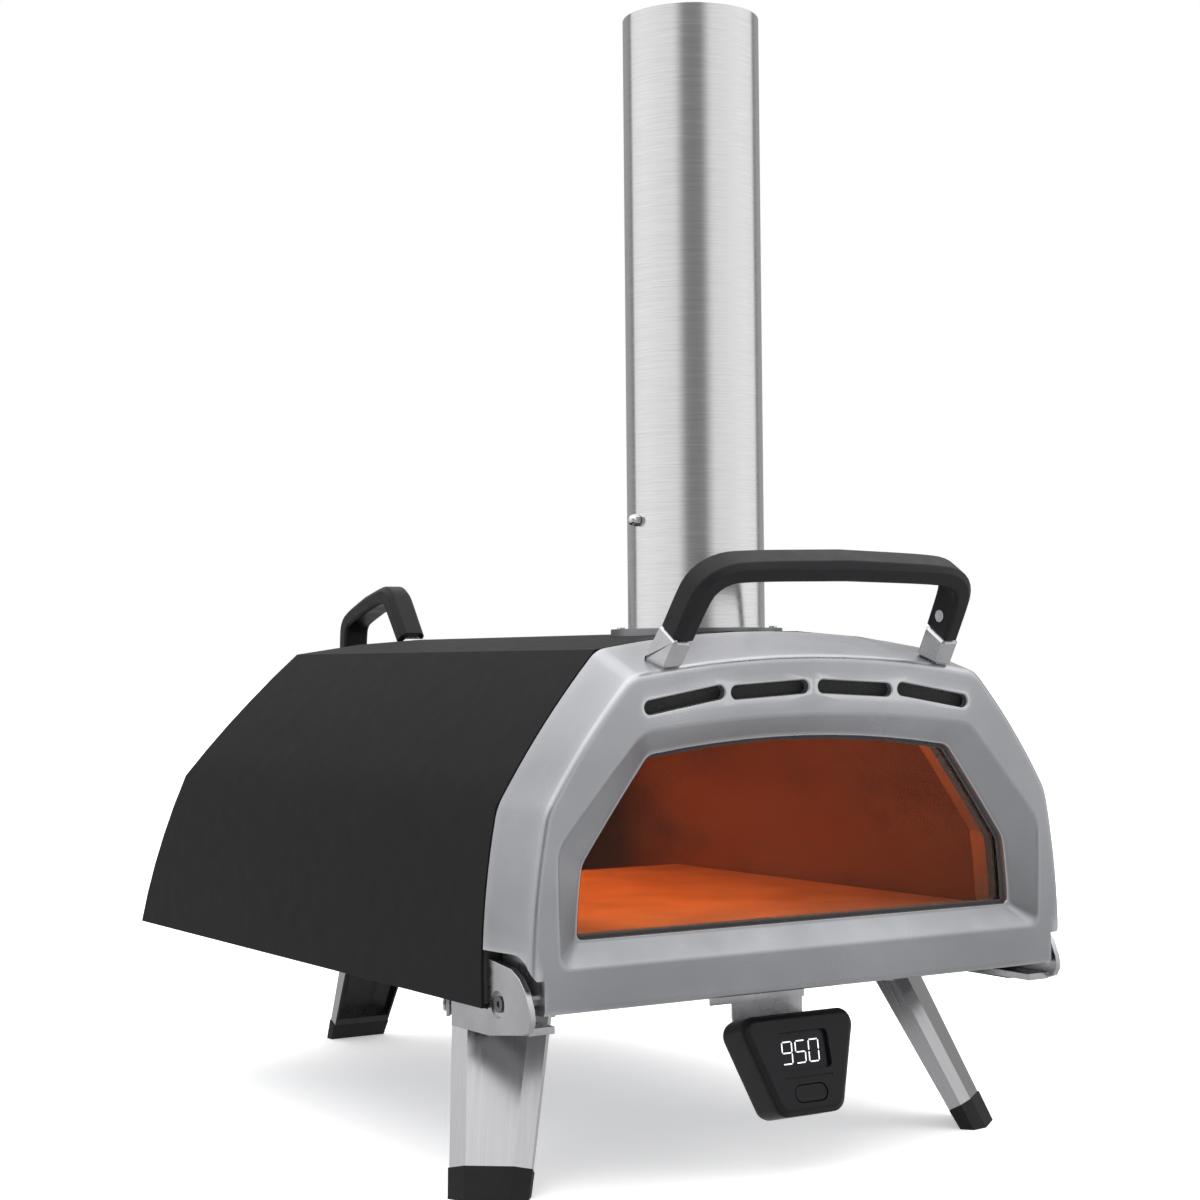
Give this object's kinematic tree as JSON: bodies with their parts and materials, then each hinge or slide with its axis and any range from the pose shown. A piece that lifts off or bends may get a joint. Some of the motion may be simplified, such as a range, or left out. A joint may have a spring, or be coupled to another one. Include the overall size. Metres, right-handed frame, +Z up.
{
  "type": "wood fired pizza oven",
  "caption": "Portable wood fired pizza oven with an arched insulated shell, a windowed drop-down door, a rear fuel hatch, a round chimney, folding legs and a digital thermometer.",
  "frame": {"origin": "middle of the whole oven's bounding box, on the ground plane under the feet", "axes": "+Z up, -Y the way the door faces, +X to the right seen from the front"},
  "size_m": [0.481, 0.8124, 0.845],
  "materials": {
    "shell_black": "matte fine-texture powder coat",
    "cast_aluminium": "satin, lightly blasted casting",
    "brushed_stainless": "brushed around the tube",
    "leg_steel": "brushed along the leg",
    "bright_steel": "bright brushed",
    "stainless": "satin",
    "screw_steel": "polished",
    "collar_steel": "satin, darkened",
    "dark_steel": "heat-proof matte black",
    "liner_steel": "mill finish, heat-tinted",
    "galvanised_steel": "zinc-coated",
    "nylon_black": "fine grain",
    "rubber": "matte",
    "gasket": "woven heat-proof tape",
    "blanket": "ceramic fibre",
    "stone": "unglazed cordierite",
    "glass": "clear heat-proof glass",
    "hub_plastic": "satin",
    "display_black": "gloss"
  },
  "bodies": {
    "oven": {"outer_shell": "shell_black", "inner_liner": "liner_steel", "insulation_blanket": "blanket", "base_pan": "galvanised_steel", "front_frame": "dark_steel", "rear_panel": "shell_black", "baking_stone": "stone", "stone_rails": "liner_steel", "temperature_probe": "stainless", "fuel_box": "dark_steel", "hatch_hinge_pin": "stainless", "vent_studs": "screw_steel", "chimney_collar": "collar_steel", "collar_screws": "screw_steel", "chimney_tube": "brushed_stainless", "hinge_bracket_left": "bright_steel", "hinge_bracket_right": "bright_steel", "door_hinge_pins": "stainless", "bracket_screws": "screw_steel", "leg_mounts": "galvanised_steel", "leg_pins": "stainless", "hub_bracket": "bright_steel", "hub_case": "hub_plastic", "hub_face": "hub_plastic", "hub_display": "display_black", "battery_cover": "hub_plastic"},
    "door": {"door_frame": "cast_aluminium", "window_gasket": "gasket", "door_glass": "glass", "glass_retainer": "stainless", "retainer_screws": "screw_steel", "door_liner": "liner_steel", "door_ferrules": "cast_aluminium", "door_grip": "nylon_black", "door_handle_screws": "screw_steel"},
    "hatch": {"fuel_hatch": "shell_black", "hatch_ferrules": "cast_aluminium", "hatch_grip": "nylon_black", "hatch_handle_screws": "screw_steel"},
    "tray": {"fuel_tray": "galvanised_steel", "fuel_grate": "dark_steel", "tray_pull": "stainless"},
    "vent": {"vent_slider": "stainless"},
    "damper": {"damper_plate": "stainless", "damper_shaft": "stainless", "damper_nut": "screw_steel", "damper_lever": "stainless"},
    "left_leg": {"leg_front_left": "leg_steel", "foot_front_left": "rubber"},
    "right_leg": {"leg_front_right": "leg_steel", "foot_front_right": "rubber"},
    "rear_leg": {"leg_rear": "leg_steel", "foot_rear": "rubber"},
    "button": {"hub_button": "hub_plastic"}
  },
  "joints": [
    {"name": "door_hinge", "type": "hinge", "parent": "oven", "child": "door", "pos_m": [0, -0.3466, 0.141], "axis": [1, 0, 0], "range_deg": [0, 95]},
    {"name": "hatch_hinge", "type": "hinge", "parent": "oven", "child": "hatch", "pos_m": [0, 0.1914, 0.3685], "axis": [1, 0, 0], "range_deg": [0, 100]},
    {"name": "tray_slide", "type": "slide", "parent": "oven", "child": "tray", "axis": [0, 1, 0], "range_m": [0, 0.15]},
    {"name": "vent_slide", "type": "slide", "parent": "oven", "child": "vent", "axis": [1, 0, 0], "range_m": [0, 0.012]},
    {"name": "damper_turn", "type": "hinge", "parent": "oven", "child": "damper", "pos_m": [0, -0.2166, 0.465], "axis": [1, 0, 0], "range_deg": [0, 90]},
    {"name": "left_leg_fold", "type": "hinge", "parent": "oven", "child": "left_leg", "pos_m": [-0.1765, -0.2271, 0.12], "axis": [0.7826, -0.6225, 0], "range_deg": [0, 115]},
    {"name": "right_leg_fold", "type": "hinge", "parent": "oven", "child": "right_leg", "pos_m": [0.1765, -0.2271, 0.12], "axis": [0.7826, 0.6225, 0], "range_deg": [0, 115]},
    {"name": "rear_leg_fold", "type": "hinge", "parent": "oven", "child": "rear_leg", "pos_m": [0, 0.3074, 0.12], "axis": [-1, 0, 0], "range_deg": [0, 115]},
    {"name": "button_press", "type": "slide", "parent": "oven", "child": "button", "axis": [0, 0.9659, -0.2588], "range_m": [0, 0.0012], "stiffness_N_per_m": 600}
  ]
}
